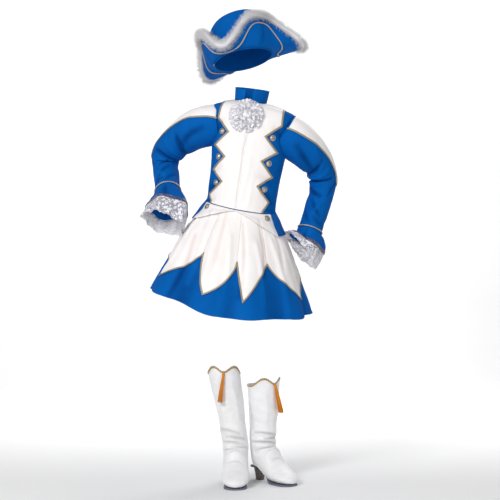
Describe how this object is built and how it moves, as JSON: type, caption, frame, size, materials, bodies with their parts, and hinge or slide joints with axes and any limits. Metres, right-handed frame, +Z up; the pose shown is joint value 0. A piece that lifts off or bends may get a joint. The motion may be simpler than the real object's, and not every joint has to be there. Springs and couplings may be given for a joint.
{
  "type": "majorette costume",
  "caption": "Majorette costume in its worn form: tricorn hat with fur edge, jacket with lace jabot and cuffs, flared skirt with white petals, heeled boots.",
  "frame": {"origin": "between the tops of the shoulders, where the wearer carries the jacket", "axes": "+Z up, -Y the way that the wearer faces, +X the wearer's left; the boots' soles are 1.27 m below the origin"},
  "size_m": [0.6741, 0.5015, 1.6097],
  "materials": {
    "blue_cloth": "matt woven",
    "white_satin": "soft satin",
    "white_lining": "matt woven",
    "fur": "long pile",
    "lace": "open lace",
    "gold_braid": "metallic braid",
    "cord": "metallic cord",
    "button_metal": "antique",
    "white_leather": "soft sheen",
    "sole": "matt",
    "heel": "satin",
    "tassel": "silky"
  },
  "bodies": {
    "root": {"boot_left_braid": "gold_braid", "boot_left_heel": "heel", "boot_left_sole": "sole", "boot_left_tassel": "tassel", "boot_left_upper": "white_leather", "boot_right_braid": "gold_braid", "boot_right_heel": "heel", "boot_right_sole": "sole", "boot_right_tassel": "tassel", "boot_right_upper": "white_leather", "braid_front_left": "gold_braid", "braid_front_right": "gold_braid", "button_left_1": "button_metal", "button_left_2": "button_metal", "button_left_3": "button_metal", "button_left_4": "button_metal", "button_right_1": "button_metal", "button_right_2": "button_metal", "button_right_3": "button_metal", "button_right_4": "button_metal", "collar_left": "blue_cloth", "collar_right": "blue_cloth", "cuff_lace_left": "lace", "cuff_lace_right": "lace", "cuff_left": "blue_cloth", "cuff_piping_left": "cord", "cuff_piping_right": "cord", "cuff_right": "blue_cloth", "hat_brim": "blue_cloth", "hat_cord": "cord", "hat_crown": "blue_cloth", "hat_fur": "fur", "jabot": "lace", "jacket_back": "blue_cloth", "jacket_front_left": "blue_cloth", "jacket_front_right": "blue_cloth", "jacket_tail": "blue_cloth", "petal_1": "white_satin", "petal_2": "white_satin", "petal_3": "white_satin", "petal_4": "white_satin", "petal_5": "white_satin", "petal_6": "white_satin", "petal_7": "white_satin", "petal_8": "white_satin", "petal_braid": "gold_braid", "plastron_left": "white_satin", "plastron_right": "white_satin", "skirt_back": "blue_cloth", "skirt_front": "blue_cloth", "sleeve_braid_left": "gold_braid", "sleeve_braid_right": "gold_braid", "sleeve_left": "blue_cloth", "sleeve_petal_left": "white_satin", "sleeve_petal_right": "white_satin", "sleeve_right": "blue_cloth", "turnback_left": "white_satin", "turnback_right": "white_satin", "waistband": "white_lining"}
  },
  "joints": []
}
